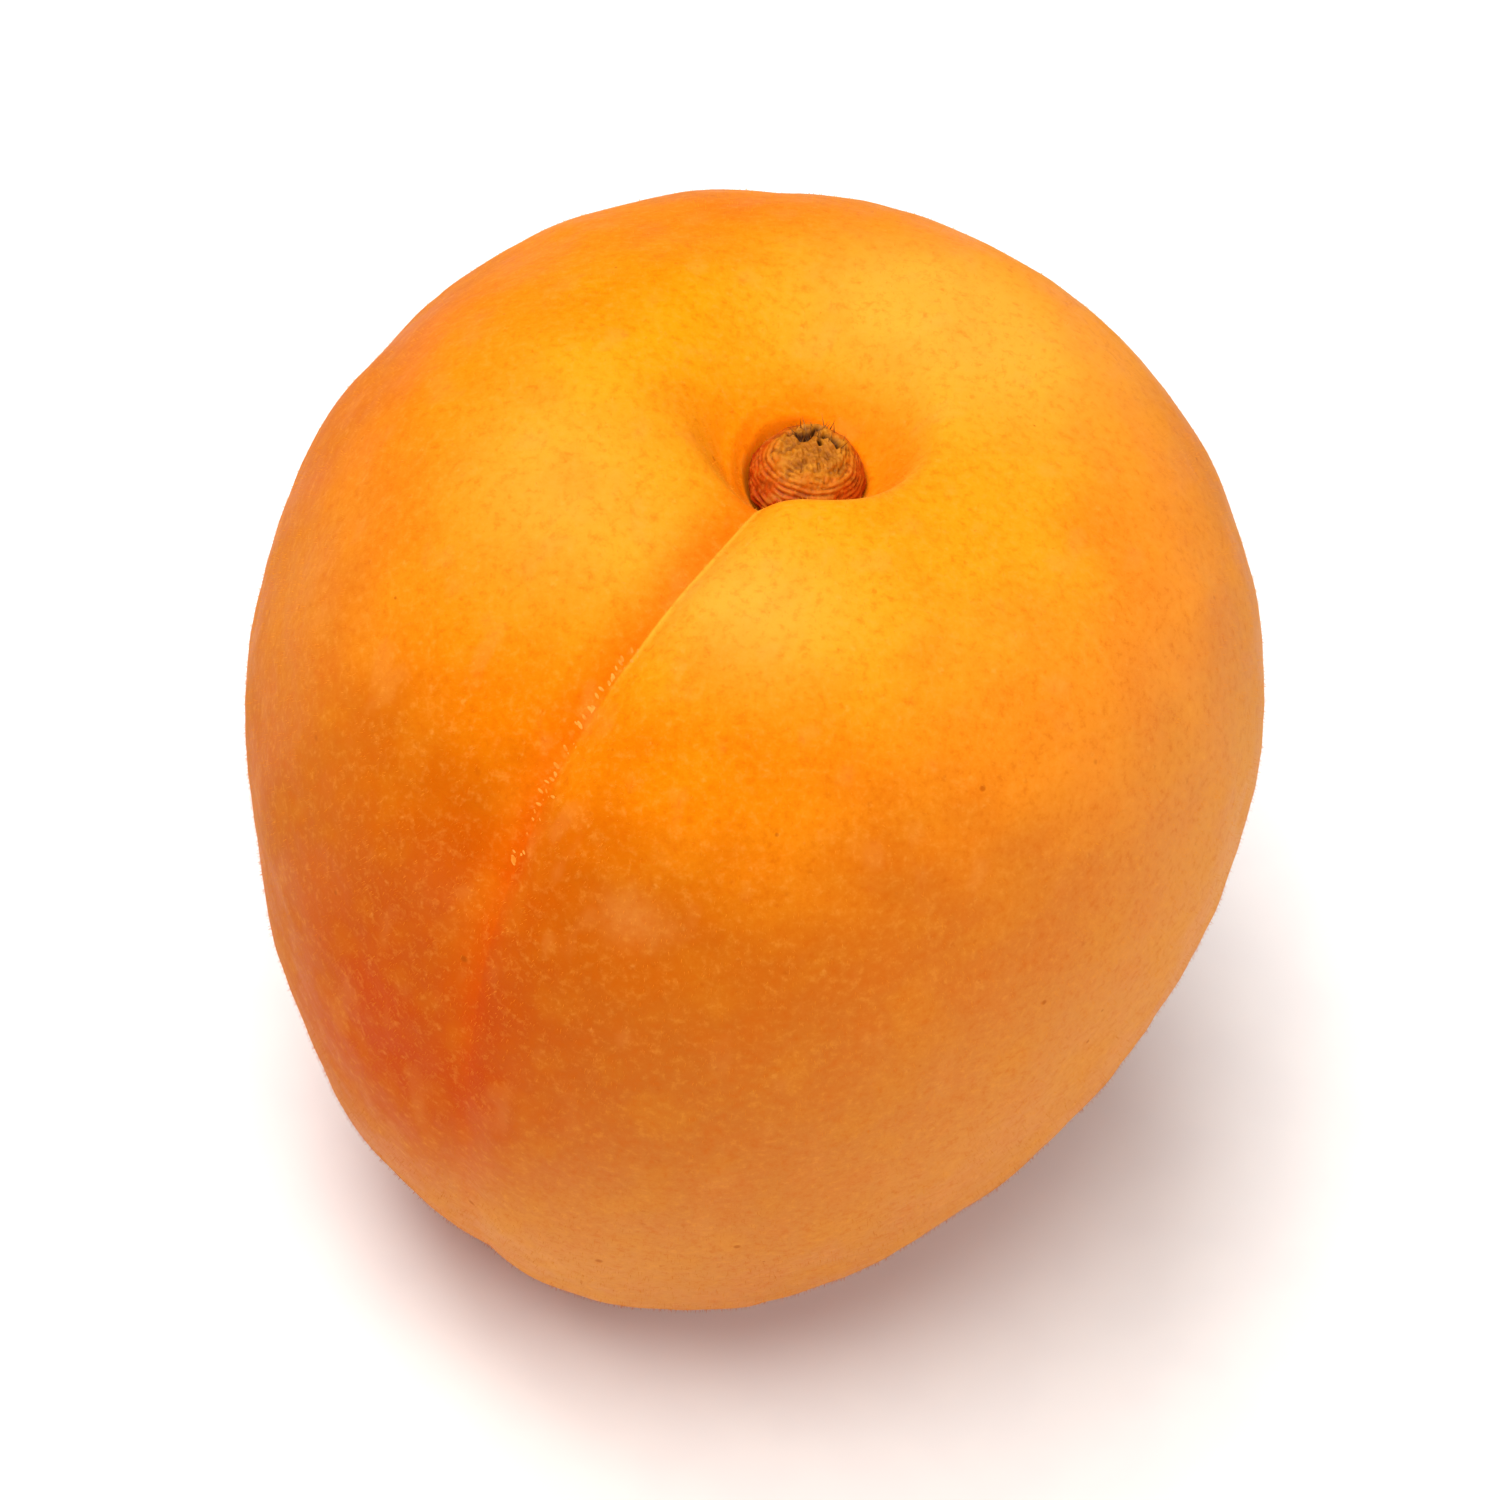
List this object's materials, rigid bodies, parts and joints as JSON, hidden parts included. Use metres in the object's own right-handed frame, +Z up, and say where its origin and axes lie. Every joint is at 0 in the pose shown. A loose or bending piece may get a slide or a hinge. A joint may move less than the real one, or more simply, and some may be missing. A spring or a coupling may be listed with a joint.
{
  "type": "apricot",
  "caption": "Ripe orange-yellow apricot with a velvety skin, a suture down one side and a corky brown stalk stub in its stem cavity.",
  "frame": {"origin": "middle of the flat resting spot at the blossom end, on the floor", "axes": "+Z up from the floor, close to the stem axis; -Y towards the viewer of the picture; the suture faces -Y, turned a little towards -X"},
  "size_m": [0.0505, 0.0523, 0.0525],
  "materials": {
    "apricot_skin": "velvety, softly satin fruit skin",
    "stalk_cork": "dry, rough and corky"
  },
  "bodies": {
    "root": {"fruit": "apricot_skin", "stalk_stub": "stalk_cork"}
  },
  "joints": []
}
